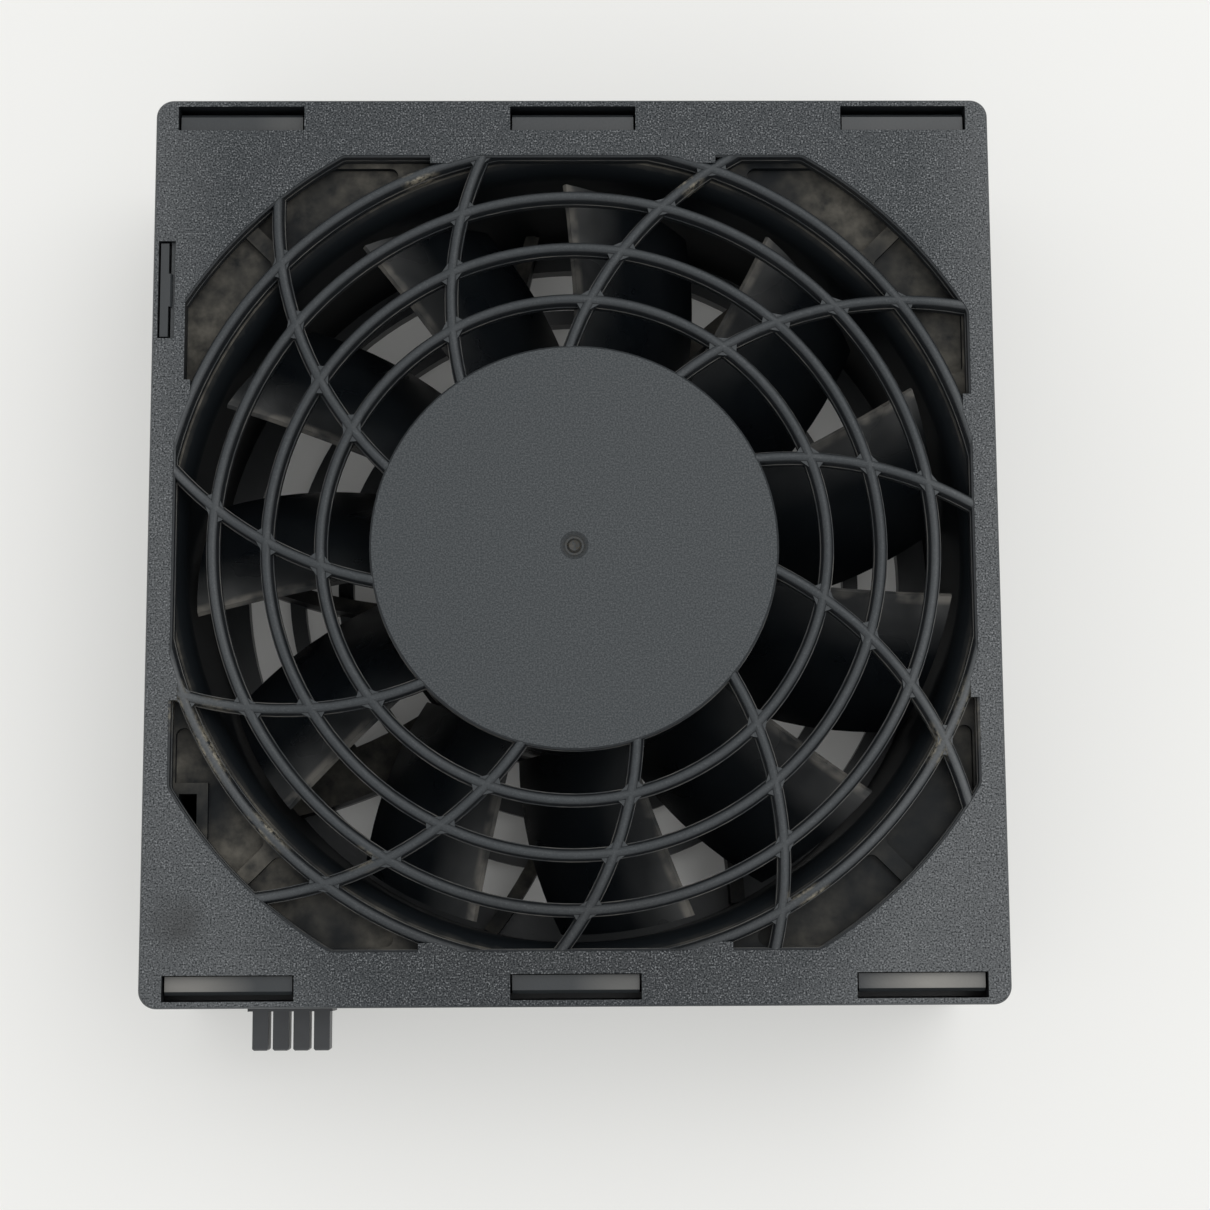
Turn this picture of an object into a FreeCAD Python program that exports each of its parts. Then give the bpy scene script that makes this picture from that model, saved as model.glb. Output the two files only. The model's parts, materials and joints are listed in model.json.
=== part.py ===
"""Server fan module: a 120 mm axial fan in a snap-together plastic case with a blind-mate plug.

Millimetres.  The origin is on the fan axis in the plane of the rear face.  +Z points to the front
grille, +Y to the top of the module and -Y to the edge that carries the plug.
"""
import FreeCAD, Part
import math
import os

V = FreeCAD.Vector
AXIS = V(0, 0, 1)

# ---- fan frame, which sets the size of everything around it ---------------------------------------
fan_size = 120.0
fan_depth = 38.0
fan_corner = 3.5
flange = 4.5
bore_inset = 2.5            # from the side of the fan frame to its bore
barrel_wall = 1.7
mouth_flare = 2.1
mouth_depth = 4.0
fan_hole_radius = 2.15
fan_hole_inset = 7.5        # from the side of the fan frame to a screw hole's middle
pocket_depth = 1.2
pocket_border = 1.9
pocket_round = 1.2
corner_rib = 2.4
post_clearance = 0.2
post_height = 4.0
guide_clearance = 0.15
guide_width = 1.4

# ---- case -------------------------------------------------------------------------------------
wall = 2.0                  # side walls of the rear housing
rear_wall = 3.0
face_plate = 3.0            # thickness of the front plate
side_room = 0.35            # between the fan frame and the side walls
top_room = 5.8              # between the fan frame and the top wall
bottom_room = 4.65          # between the fan frame and the bottom wall
corner_radius = 2.6
skirt_wall = 0.95
skirt_depth = 8.0           # how far the bezel's skirt runs back behind the plate
lap_height = 3.0            # lip of the housing inside the skirt
lap_wall = 0.8
edge_round = 0.5
seam_gap = 0.1              # between parts that are glued, snapped or pushed together

# ---- front grille -----------------------------------------------------------------------------
aperture_inset = 1.5        # from the side of the fan frame to the straight sides of the opening
aperture_rise = 0.45        # how much further the opening reaches at the top
slot_border = 1.0           # how much closer the opening's side lies beside the side slot
corner_bulge = 9.7          # how far the opening's corners reach past its straight sides
aperture_fillet = 1.5
aperture_chamfer = 0.3
disc_radius = 30.0
disc_thickness = 2.5
gate_radius = 2.1           # dish in the middle of the disc, where the plastic came in
gate_depth = 0.5
gate_slope = 0.7            # how much narrower the dish is at its floor
gate_nub = 1.1
gate_nub_height = 0.35
ring_count = 4
first_ring_gap = 7.2        # from the disc to the first ring
last_ring_overlap = 2.4     # how far the last ring lies outside the opening's straight sides
rib_width = 1.5
rib_draft = 0.15            # how much wider a rib is at its foot, each side
rib_crown = 0.55            # height of the rounded top of a rib
crown_flats = 5             # flats that make up a rounded top
rib_drop = 0.1              # top of a rib below the face
rib_depth = 3.0
parting_ledge = 0.1         # step in the walls of the grille at the mould's parting plane
parting_depth = 1.7         # parting plane below the face
web_reach = 2.4             # webs where two ribs cross: reach along each rib
web_drop = 0.5              # top of a web below the face
sliver = 0.95               # gaps between the last ring and the opening's edge are closed up to this
spoke_count = 11
spoke_phase = 91.5          # angle of the first spoke's root
spoke_lean_middle = -13.5   # turn of a spoke between its root and its middle radius
spoke_lean_end = -27.5      # turn of a spoke between its root and the corner of the opening

# ---- snap windows and arms --------------------------------------------------------------------
window_width = 18.8
window_height = 3.7
window_margin = 1.0         # from the edge of the face
window_side_gap = 3.35      # from the last window to the side of the face
arm_clearance = 0.3         # at each end of an arm in its window
arm_thickness = 1.25
arm_gap = 0.9               # open gap outside the arm, which lets it spring
arm_root_height = 23.5
hook_setback = 0.9          # from the face to the end of a hook
hook_height = 1.45
hook_bevel = 0.5
hook_gusset = 3.0           # slope that joins an arm to the wall
catch_height = 2.4
catch_depth = 1.2           # reach of a catch under the window
catch_wall = 0.6
catch_overhang = 1.0        # how much wider a catch is than its window, each side
side_slot_width = 2.5
side_slot_length = 14.8
side_slot_margin = 0.8
side_slot_drop = 29.2       # from the top edge to the slot's middle
side_arm_thickness = 1.2
side_arm_setback = 0.3
side_hook_reach = 0.55
side_hook_length = 5.0
side_hook_bevel = 0.3
side_ledge_depth = 0.9

# ---- struts, motor base and rear guard ----------------------------------------------------------
strut_count = 9
strut_phase = 230.0         # root of the strut that carries the leads
strut_lean_middle = -7.0
strut_lean_end = -13.5
strut_width = 2.2
strut_height = 6.5
lead_strut_width = 7.6
base_floor = 1.4
base_gap = 0.2              # how much smaller the motor base is than the hub
base_rim_wall = 1.6
base_rim_height = 8.5
board_post_radius = 1.6
board_post_inset = 2.5      # from the board's edge to a post's middle
rear_opening_inset = 4.5    # from the bore to the opening of the rear wall
guard_ring_count = 2
guard_width = 2.4
guard_spoke_width = 2.0

# ---- impeller ---------------------------------------------------------------------------------
blade_count = 11
tip_gap = 1.1
hub_inset = 0.5             # how much smaller the hub is than the disc of the grille
hub_wall = 2.0
hub_setback = 1.5           # hub front behind the mouth of the fan frame
hub_round = 3.0
hub_base_gap = 1.5          # above the rim of the motor base
blade_setback = 2.6         # leading edges behind the mouth of the fan frame
blade_depth_tip = 19.4
blade_depth_root = 24.5
blade_sweep_tip = 19.5      # angle that a blade spans at its tip
blade_sweep_root = 30.5
blade_skew = 2.8            # how far the root of the leading edge lags the tip
blade_bow = 0.35
blade_thickness_root = 1.9
blade_thickness_tip = 1.3
blade_edge = 0.7
blade_stations = 4          # spans between the points that a blade's section runs through

# ---- motor ------------------------------------------------------------------------------------
shaft_radius = 2.0
shaft_overhang = 1.2        # rear end of the shaft past the clip
shaft_bevel = 0.3
bearing_radius = 5.5
bearing_width = 4.0
race_wall = 1.1
ball_count = 7
ball_bite = 0.2             # how deep a ball sits in each race
ball_clearance = 0.03
tube_wall = 1.5
tube_shoulder = 0.8
front_bearing_gap = 2.2     # from the front bearing to the bushing
rear_bearing_rise = 7.8     # upper face of the rear bearing above the motor base's floor
bush_radius = 4.0
bush_length = 5.4
bush_setback = 0.9          # from the front of the hub to the bushing
washer_thickness = 0.25
washer_fit = 0.02
clip_thickness = 0.6
clip_radius = 3.4
clip_groove = 0.35
clip_fit = 0.05
yoke_wall = 1.4
yoke_setback = 0.5          # from the rear edge of the hub to the rim of the yoke
magnet_thickness = 2.5
magnet_gap_front = 1.5
magnet_gap_rear = 3.5       # from the rear edge of the hub to the magnet
air_gap = 0.5
pole_count = 6
core_setback = 3.0          # ends of the core inside the ends of the magnet
pole_shoe = 1.8
pole_shoe_angle = 48.0
tooth_width = 5.0
core_hub_wall = 3.0
insulator_flange = 1.2
insulator_collar = 1.2
coil_depth = 3.0
coil_gap = 0.2              # between a winding and the flanges it lies on
coil_round = 1.5
board_thickness = 1.2
board_radius = 24.5
board_clearance = 1.4       # from the board's hole to the boss of the bearing tube
board_rise = 3.6            # from the motor base's floor to the board
boss_wall = 1.6
boss_height = 3.2
hall_size = 3.2
hall_height = 1.6
hall_gap = 0.6              # inside the magnet ring
chip_width = 5.2
chip_length = 5.0
chip_height = 1.4
capacitor_width = 1.6
capacitor_length = 3.2
capacitor_pitch = 3.0

# ---- leads and plug ---------------------------------------------------------------------------
lead_count = 4
lead_radius = 0.65
lead_pitch = 1.45
lead_rise = 2.15                # centre of a lead above the rear face of the fan
channel_clearance = 0.35
strut_exit = 2.5                # how far the leads follow the strut's arc past the fan's bore
pad_radius = 19.5               # the leads' pads on the board, from the axis along the strut
pad_bend = 2.0
rise_bend = 3.0
side_bend = 6.0
lead_step = 1.5                 # the next lead turns up this much further out
plug_lead_in = 4.0              # straight lead behind the plug
contact_tail = 0.6              # crimp that shows behind the plug
cable_hole_inset = 3.8          # slot in the front flange at the leads' corner: from the side
cable_hole_rise = 21.7          # and from the lower side
cable_hole_width = 2.6
cable_hole_length = 4.8
cable_hole_rim = 1.6
plug_inset = 19.25              # from the side of the case to the plug's middle
plug_rise = 16.45               # from the rear wall to the plug's middle
plug_pitch = 3.1
finger_width = 2.4
finger_height = 3.7
finger_reach = 6.85             # past the bottom edge of the case
finger_chamfer = 0.25
plug_flange = 0.95
plug_flange_width = 12.8
plug_flange_height = 7.0
plug_body_width = 12.0
plug_body_height = 5.2
plug_body_depth = 7.5           # behind the outer face of the case
plug_fit = 0.15
barb_reach = 0.7
barb_length = 2.4
barb_height = 2.4
barb_root = 0.2
contact_wall = 0.25
contact_width = 1.45
contact_height = 2.3
contact_fit = 0.1
contact_setback = 0.9

# ---- sizes worked out from the above ------------------------------------------------------------
fan_half = fan_size / 2
case_width = fan_size + 2 * (side_room + wall)
top_reach = fan_half + top_room + wall              # fan axis to the top edge
bottom_reach = fan_half + bottom_room + wall        # fan axis to the bottom edge
bore_radius = fan_half - bore_inset
fan_hole_half = fan_half - fan_hole_inset
pocket_inner_radius = bore_radius + mouth_flare + 2.4
aperture_half = fan_half - aperture_inset
aperture_radius = aperture_half + corner_bulge
first_ring = disc_radius + first_ring_gap
ring_step = (aperture_half + last_ring_overlap - first_ring) / (ring_count - 1)
ring_radii = [first_ring + ring_step * index for index in range(ring_count)]
window_pitch = case_width / 2 - window_side_gap - window_width / 2
window_offsets = [-window_pitch, 0.0, window_pitch]
side_slot_middle = top_reach - side_slot_drop
face_height = rear_wall + fan_depth + face_plate
plate_height = face_height - face_plate
skirt_height = plate_height - skirt_depth
fan_top = rear_wall + fan_depth
floor_top = rear_wall + base_floor
rim_top = rear_wall + base_rim_height
hub_radius = disc_radius - hub_inset
base_radius = hub_radius - base_gap
hub_top = fan_top - hub_setback
hub_bottom = rim_top + hub_base_gap
blade_lead_height = fan_top - blade_setback
tip_radius = bore_radius - tip_gap
blade_stack = -(blade_skew + blade_sweep_root + blade_sweep_tip) / 4    # middle of a blade
barrel_radius = bore_radius + barrel_wall
hub_inner = hub_radius - hub_wall
yoke_radius = hub_inner - seam_gap
yoke_top = hub_top - hub_wall - seam_gap
magnet_outer = yoke_radius - yoke_wall - seam_gap
magnet_inner = magnet_outer - magnet_thickness
magnet_top = yoke_top - yoke_wall - magnet_gap_front
magnet_bottom = hub_bottom + magnet_gap_rear
core_radius = magnet_inner - air_gap
core_bottom = magnet_bottom + core_setback
core_top = magnet_top - core_setback
tube_radius = bearing_radius + tube_wall
core_bore = tube_radius + seam_gap / 2
bush_top = hub_top - bush_setback
bush_bottom = bush_top - bush_length
front_bearing_height = bush_bottom - front_bearing_gap      # upper face of the front bearing
rear_bearing_height = floor_top + rear_bearing_rise         # upper face of the rear bearing
board_height = floor_top + board_rise
ball_radius = (bearing_radius - shaft_radius - 2 * race_wall) / 2 + ball_bite
ball_circle = (bearing_radius + shaft_radius) / 2
clip_top = rear_bearing_height - bearing_width - seam_gap
rear_opening_radius = bore_radius - rear_opening_inset
guard_radii = ring_radii[:guard_ring_count]
lead_height = rear_wall + lead_rise
strut_run = bore_radius - pad_radius                        # arc length that the leads follow
cable_hole_x = cable_hole_inset - fan_half
cable_hole_y = cable_hole_rise - fan_half
plug_middle = plug_inset - case_width / 2                   # across the module, from the fan axis
plug_height = rear_wall + plug_rise
plug_face = -bottom_reach - plug_flange
plug_back = -bottom_reach + plug_body_depth


# ---- small helpers ------------------------------------------------------------------------------
def polar(radius, angle, z=0.0):
    turn = math.radians(angle)
    return V(radius * math.cos(turn), radius * math.sin(turn), z)


def block(x0, x1, y0, y1, z0, z1):
    return Part.makeBox(x1 - x0, y1 - y0, z1 - z0, V(x0, y0, z0))


def cylinder(radius, z0, z1, x=0.0, y=0.0):
    return Part.makeCylinder(radius, z1 - z0, V(x, y, z0))


def tube(outer, inner, z0, z1):
    return cylinder(outer, z0, z1).cut(cylinder(inner, z0 - 1, z1 + 1))


def upright_edges(shape):
    picked = []
    for edge in shape.Edges:
        ends = edge.Vertexes
        if len(ends) == 2:
            run = ends[1].Point.sub(ends[0].Point)
            if abs(run.x) + abs(run.y) < 1e-6:
                picked.append(edge)
    return picked


def rounded_block(x0, x1, y0, y1, z0, z1, radius):
    shape = block(x0, x1, y0, y1, z0, z1)
    return shape.makeFillet(radius, upright_edges(shape))


def case_block(inset, z0, z1):
    """The outline of the case, drawn in by an inset."""
    half = case_width / 2 - inset
    round_off = max(corner_radius - inset, 0.4)
    return rounded_block(-half, half, inset - bottom_reach, top_reach - inset, z0, z1, round_off)


def case_shell(inset, thickness, z0, z1):
    return case_block(inset, z0, z1).cut(case_block(inset + thickness, z0 - 1, z1 + 1))


def revolve_outline(points):
    """Turn a closed outline of (radius, height) points all the way round the fan axis."""
    corners = [V(radius, 0, height) for radius, height in points]
    wire = Part.makePolygon(corners + [corners[0]])
    return Part.Face(wire).revolve(V(0, 0, 0), AXIS, 360)


def extrude_outline(points, direction):
    wire = Part.makePolygon(points + [points[0]])
    return Part.Face(wire).extrude(direction)


def crown_points(radius, half, base):
    """Points of a rounded rib top, in flats, from its inner to its outer side seen looking back."""
    bow = (half * half + rib_crown * rib_crown) / (2 * rib_crown)
    reach = math.asin(half / bow)
    points = []
    for flat in range(crown_flats + 1):
        turn = reach * (1 - 2 * flat / crown_flats)
        lift = bow * (math.cos(turn) - math.cos(reach))
        points.append(V(radius + bow * math.sin(turn), 0, base + lift))
    return points


def plain_section(radius, width, z0, z1):
    half = width / 2
    corners = [V(radius - half, 0, z0), V(radius + half, 0, z0), V(radius + half, 0, z1),
               V(radius - half, 0, z1)]
    return Part.Face(Part.makePolygon(corners + [corners[0]]))


def grille_section(radius):
    """Upright section of a grille rib: rounded top, sloping sides and a step at the parting plane."""
    half = rib_width / 2
    foot = half + rib_draft
    ledge = foot + parting_ledge
    bottom = face_height - rib_depth
    parting = face_height - parting_depth
    corners = [V(radius - ledge, 0, bottom), V(radius + ledge, 0, bottom),
               V(radius + ledge, 0, parting), V(radius + foot, 0, parting)]
    corners += crown_points(radius, half, face_height - rib_drop - rib_crown)
    corners += [V(radius - foot, 0, parting), V(radius - ledge, 0, parting)]
    return Part.Face(Part.makePolygon(corners + [corners[0]]))


def rib_ring(section):
    return section.revolve(V(0, 0, 0), AXIS, 360)


def rib_arc(curve, make_section):
    """A rib that follows a circular arc seen from the front; make_section takes the arc's radius."""
    centre = curve.Curve.Center
    start = curve.valueAt(curve.FirstParameter).sub(centre)
    end = curve.valueAt(curve.LastParameter).sub(centre)
    first = math.degrees(math.atan2(start.y, start.x))
    turn = math.degrees(math.atan2(end.y, end.x)) - first
    turn = (turn + 180.0) % 360.0 - 180.0
    section = make_section(curve.Curve.Radius)
    section.rotate(V(0, 0, 0), AXIS, first)
    rib = section.revolve(V(0, 0, 0), AXIS, turn)
    rib.translate(centre)
    return rib


def plain_arc(curve, width, z0, z1):
    return rib_arc(curve, lambda radius: plain_section(radius, width, z0, z1))


def leaning_curve(phase, root_radius, end_radius, lean_middle, lean_end):
    """Arc of a spoke that leans over steadily from its root to its end."""
    middle_radius = (root_radius + end_radius) / 2
    arc = Part.Arc(polar(root_radius, phase), polar(middle_radius, phase + lean_middle),
                   polar(end_radius, phase + lean_end))
    return arc.toShape()


def strut_curve():
    return leaning_curve(strut_phase, disc_radius - 1.0, bore_radius, strut_lean_middle,
                         strut_lean_end)


def round_pattern(shape, count):
    copies = []
    for index in range(count):
        copy = shape.copy()
        copy.rotate(V(0, 0, 0), AXIS, 360.0 * index / count)
        copies.append(copy)
    return copies


def join(shapes):
    return shapes[0].multiFuse(shapes[1:]).removeSplitter()


def soften(prism, radius, z0, z1):
    """Round every corner of a flat prism's outline, inner and outer corners alike."""
    floor = [face for face in prism.Faces if abs(face.CenterOfMass.z - z0) < 1e-6][0]
    rounded = floor.makeOffset2D(-radius).makeOffset2D(radius)
    return rounded.extrude(V(0, 0, z1 - z0))


# ---- front bezel --------------------------------------------------------------------------------
def aperture(grow, z0, z1):
    half = aperture_half + grow
    square = block(-half, half, -half, half + aperture_rise, z0, z1)
    opening = square.common(cylinder(aperture_radius + grow, z0, z1))
    return opening.makeFillet(aperture_fillet, upright_edges(opening))


def front_plate():
    parting = face_height - parting_depth
    plate = case_block(0.0, plate_height, face_height)
    rim = [edge for edge in plate.Edges
           if all(abs(v.Z - face_height) < 1e-6 for v in edge.Vertexes)]
    plate = plate.makeFillet(edge_round, rim)
    plate = plate.cut([aperture(-parting_ledge, plate_height - 1, parting),
                       aperture(0.0, parting, face_height + 1)])
    reach = aperture_half + aperture_rise + aperture_chamfer / 2
    lip = [edge for edge in plate.Edges
           if abs(edge.CenterOfMass.z - face_height) < 1e-6
           and max(abs(edge.CenterOfMass.x), abs(edge.CenterOfMass.y)) < reach]
    return plate.makeChamfer(aperture_chamfer, lip)


def hub_disc():
    """Disc of the grille; the mark in its middle is a dish with a broken-off nub."""
    bottom = face_height - disc_thickness
    parting = face_height - parting_depth
    bevel = aperture_chamfer
    ledge = disc_radius + parting_ledge
    floor = face_height - gate_depth
    return revolve_outline([(0, bottom), (ledge, bottom), (ledge, parting), (disc_radius, parting),
                            (disc_radius, face_height - bevel), (disc_radius - bevel, face_height),
                            (gate_radius, face_height), (gate_radius - gate_slope, floor),
                            (gate_nub, floor), (gate_nub * 0.7, floor + gate_nub_height),
                            (0, floor + gate_nub_height / 3)])


def spoke_curve():
    return leaning_curve(spoke_phase, disc_radius - 0.5, aperture_radius + 1.0,
                         spoke_lean_middle, spoke_lean_end)


def on_spoke(radius):
    """Where the first spoke lies at this distance from the fan axis, and its direction there."""
    curve = spoke_curve()
    low, high = curve.FirstParameter, curve.LastParameter
    rising = curve.valueAt(high).Length > curve.valueAt(low).Length
    for halving in range(30):
        middle = (low + high) / 2
        if (curve.valueAt(middle).Length < radius) == rising:
            low = middle
        else:
            high = middle
    return curve.valueAt(low), curve.tangentAt(low)


def crossing_web(radius):
    """Flat lozenge under a crossing: it fills the corners between a ring and a spoke."""
    place, along = on_spoke(radius)
    around = AXIS.cross(V(place.x, place.y, 0)).normalize()
    lift = V(0, 0, plate_height)
    corners = [place + along * web_reach + lift, place + around * web_reach + lift,
               place - along * web_reach + lift, place - around * web_reach + lift]
    return extrude_outline(corners, V(0, 0, face_plate - web_drop))


def outside_last_ring(bar):
    return bar.cut(cylinder(ring_radii[-1], plate_height - 1, face_height + 1))


def closed_sliver(side):
    """Plate that closes the narrow gap between the last ring and an upper side at this distance."""
    outer = ring_radii[-1] + rib_width / 2 + rib_draft
    low = side - sliver
    end = math.sqrt(outer ** 2 - low ** 2)
    return outside_last_ring(block(-end, end, low, side + rib_width / 2, plate_height, face_height))


def turned(shape, angle):
    shape.rotate(V(0, 0, 0), AXIS, angle)
    return shape


def ring_fillers():
    """Close the slivers where the last ring runs out of the opening's straight sides."""
    slot_side = aperture_half - slot_border
    upper_left = block(-aperture_half - rib_width, 0, 0, aperture_half, plate_height, face_height)
    border = block(-aperture_half - rib_width / 2, -slot_side, 0, aperture_half, plate_height,
                   face_height)
    fillers = [turned(closed_sliver(aperture_half), angle) for angle in (90, 180, 270)]
    fillers.append(closed_sliver(aperture_half + aperture_rise))
    fillers.append(turned(closed_sliver(slot_side), 90).common(upper_left))
    fillers.append(outside_last_ring(border))
    return fillers


def grille_ribs():
    """Rings and curved spokes with rounded tops, and a small web at every crossing."""
    room = aperture(0.9, plate_height - 1, face_height + 1)
    ribs = [rib_ring(grille_section(radius)) for radius in ring_radii]
    ribs += round_pattern(rib_arc(spoke_curve(), grille_section), spoke_count)
    for radius in ring_radii:
        ribs += round_pattern(crossing_web(radius), spoke_count)
    ribs += ring_fillers()
    return ribs[0].multiFuse(ribs[1:]).common(room)


def window_catch(side, edge, x):
    """Ledge under a window that the hook of a snap arm drops over."""
    inner = edge - window_margin - window_height
    half = window_width / 2 + catch_overhang
    top = face_height - hook_setback - hook_height - seam_gap
    span = sorted([side * (inner - catch_wall), side * (inner + catch_depth)])
    ledge = block(x - half, x + half, span[0], span[1], top - catch_height, top)
    back = sorted([side * (inner - catch_wall), side * inner])
    return ledge.fuse(block(x - half, x + half, back[0], back[1], top - catch_height, plate_height))


def snap_window(side, edge, x):
    inner = edge - window_margin - window_height
    span = sorted([side * inner, side * (edge - window_margin)])
    half = window_width / 2
    return block(x - half, x + half, span[0], span[1], plate_height - 0.5, face_height + 1)


def side_slot():
    """Stepped slot near the left edge: open outside, with a shallow ledge on its inner side."""
    left = -case_width / 2 + side_slot_margin
    low = side_slot_middle - side_slot_length / 2
    high = side_slot_middle + side_slot_length / 2
    through = left + 2 * arm_clearance + side_arm_thickness
    deep = block(left, through, low, high, skirt_height - 1, face_height + 1)
    step = block(through - 0.1, left + side_slot_width, low, high,
                 face_height - side_ledge_depth, face_height + 1)
    return deep.fuse(step)


def front_bezel():
    skirt = case_shell(0.0, skirt_wall, skirt_height, plate_height)
    solids = [front_plate(), skirt, hub_disc(), grille_ribs()]
    cuts = [side_slot()]
    for side, edge in ((1, top_reach), (-1, bottom_reach)):
        for x in window_offsets:
            solids.append(window_catch(side, edge, x))
            cuts.append(snap_window(side, edge, x))
    return join(solids).cut(cuts)


# ---- rear housing -------------------------------------------------------------------------------
def snap_arm(side, edge, x):
    """Arm that rises inside the skirt and hooks over a catch, drawn in the upright plane."""
    outer = edge - window_margin - arm_gap
    shaft = outer - arm_thickness
    hook = edge - window_margin - window_height + arm_clearance / 2
    tip = face_height - hook_setback
    bevel = hook_bevel
    half = window_width / 2 - arm_clearance
    outline = [(outer, arm_root_height), (outer, tip - bevel), (outer - bevel, tip), (hook, tip),
               (hook, tip - hook_height), (shaft, tip - hook_height),
               (shaft, arm_root_height + hook_gusset)]
    points = [V(x - half, side * reach, height) for reach, height in outline]
    return extrude_outline(points, V(2 * half, 0, 0))


def side_arm():
    """Thin arm of the left wall; its bump drops over the ledge in the bezel's side slot."""
    outer = -case_width / 2 + side_slot_margin + arm_clearance
    inner = outer + side_arm_thickness
    low = side_slot_middle - side_slot_length / 2 + arm_clearance
    high = side_slot_middle + side_slot_length / 2 - arm_clearance
    tip = face_height - side_arm_setback
    arm = block(outer, inner, low, high, arm_root_height, tip)
    ledge = face_height - side_ledge_depth + seam_gap
    half = side_hook_length / 2
    reach = inner + side_hook_reach
    bevel = side_hook_bevel
    bump = [V(inner, 0, ledge), V(reach, 0, ledge), V(reach, 0, tip - bevel),
            V(reach - bevel, 0, tip), V(inner, 0, tip)]
    bump = extrude_outline(bump, V(0, 2 * half, 0))
    bump.translate(V(0, side_slot_middle - half, 0))
    return arm.fuse(bump)


def rear_guard():
    """Round opening in the rear wall with two rings and spokes that lie behind the fan's struts."""
    parts = [cylinder(disc_radius, 0, rear_wall)]
    for radius in guard_radii:
        parts.append(rib_ring(plain_section(radius, guard_width, 0, rear_wall)))
    curve = strut_curve()
    spokes = round_pattern(plain_arc(curve, guard_spoke_width, 0, rear_wall), strut_count)
    parts += spokes[1:]
    parts.append(plain_arc(curve, lead_strut_width, 0, rear_wall))
    return parts


def fan_guides():
    """Upright ribs on the top and bottom walls that centre the fan frame."""
    reach = fan_half + guide_clearance
    guides = []
    for side, edge in ((1, top_reach), (-1, bottom_reach)):
        span = sorted([side * reach, side * (edge - wall / 2)])
        for x in (-window_pitch / 2, window_pitch / 2):
            guides.append(block(x - guide_width / 2, x + guide_width / 2, span[0], span[1],
                                rear_wall / 2, skirt_height))
    return guides


def corner_posts():
    half = fan_hole_half
    radius = fan_hole_radius - post_clearance
    posts = []
    for x in (-half, half):
        for y in (-half, half):
            posts.append(cylinder(radius, rear_wall / 2, rear_wall + post_height, x, y))
    return posts


def rear_housing():
    floor = case_block(0.0, 0.0, rear_wall).cut(cylinder(rear_opening_radius, -1, rear_wall + 1))
    walls = case_shell(0.0, wall, 0.0, skirt_height - seam_gap)
    lip = case_shell(skirt_wall + seam_gap, lap_wall, skirt_height - 2.0, skirt_height + lap_height)
    solids = [floor, walls, lip, side_arm()] + rear_guard() + fan_guides() + corner_posts()
    for side, edge in ((1, top_reach), (-1, bottom_reach)):
        for x in window_offsets:
            solids.append(snap_arm(side, edge, x))
    half = plug_body_width / 2 + plug_fit
    rise = plug_body_height / 2 + plug_fit
    plug_hole = block(plug_middle - half, plug_middle + half, -bottom_reach - 1,
                      -bottom_reach + wall + 1, plug_height - rise, plug_height + rise)
    return join(solids).cut(plug_hole)


# ---- fan frame ----------------------------------------------------------------------------------
def fan_square(z0, z1):
    return rounded_block(-fan_half, fan_half, -fan_half, fan_half, z0, z1, fan_corner)


def mouth_cutter():
    """Bell mouth: the bore flares out to the front along an arc."""
    low = V(bore_radius, 0, fan_top - mouth_depth)
    high = V(bore_radius + mouth_flare, 0, fan_top)
    middle = V(bore_radius + 0.3 * mouth_flare, 0, fan_top - 0.42 * mouth_depth)
    flare = Part.Arc(low, middle, high).toShape()
    rest = Part.makePolygon([high, V(0, 0, fan_top), V(0, 0, low.z), low])
    return Part.Face(Part.Wire([flare] + rest.Edges)).revolve(V(0, 0, 0), AXIS, 360)


def corner_pockets():
    """Shallow rounded pockets beside the diagonal rib of a corner, for the corner at +X +Y."""
    low = fan_top - pocket_depth
    edge = fan_half - pocket_border
    area = block(0, edge, 0, edge, low, fan_top + 1)
    area = area.cut(cylinder(pocket_inner_radius, low - 1, fan_top + 2))
    rib = block(0, fan_size, -corner_rib / 2, corner_rib / 2, low - 1, fan_top + 2)
    rib.rotate(V(0, 0, 0), AXIS, 45)
    boss = cylinder(fan_hole_radius + pocket_border, low - 1, fan_top + 2, fan_hole_half,
                    fan_hole_half)
    area = area.cut([rib, boss])
    return [soften(solid, pocket_round, low, fan_top + 1) for solid in area.Solids]


def on_strut(offset, beyond):
    """Point beside the wide strut's end and the outward direction there, past the end if asked."""
    curve = strut_curve()
    middle = curve.Curve.Center
    start = curve.valueAt(curve.FirstParameter).sub(middle)
    arm = curve.valueAt(curve.LastParameter).sub(middle)
    bend = 1 if start.cross(arm).z > 0 else -1
    angle = math.degrees(math.atan2(arm.y, arm.x)) + bend * math.degrees(beyond / arm.Length)
    heading = polar(1.0, angle + 90 * bend)
    centre = V(middle.x, middle.y, lead_height)
    radius = arm.Length + offset
    return centre.add(polar(radius, angle)), heading, centre, radius


def round_corner(before, corner, after, radius):
    """Arc that rounds one corner of a route, tangent to both runs."""
    come = corner.sub(before).normalize()
    leave = after.sub(corner).normalize()
    half = come.getAngle(leave) / 2
    trim = radius * math.tan(half)
    inward = leave.sub(come).normalize()
    middle = corner.add(inward * (radius / math.cos(half) - radius))
    return Part.Arc(corner.sub(come * trim), middle, corner.add(leave * trim)).toShape()


def route_wire(points, radii):
    """Straight runs joined by tangent arcs."""
    edges = []
    here = points[0]
    for index, radius in enumerate(radii, start=1):
        arc = round_corner(points[index - 1], points[index], points[index + 1], radius)
        start = arc.valueAt(arc.FirstParameter)
        if start.distanceToPoint(here) > 1e-4:
            edges.append(Part.makeLine(here, start))
        edges.append(arc)
        here = arc.valueAt(arc.LastParameter)
    edges.append(Part.makeLine(here, points[-1]))
    return Part.Wire(edges)


def lead_offset(index):
    return (index - (lead_count - 1) / 2) * lead_pitch


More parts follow.
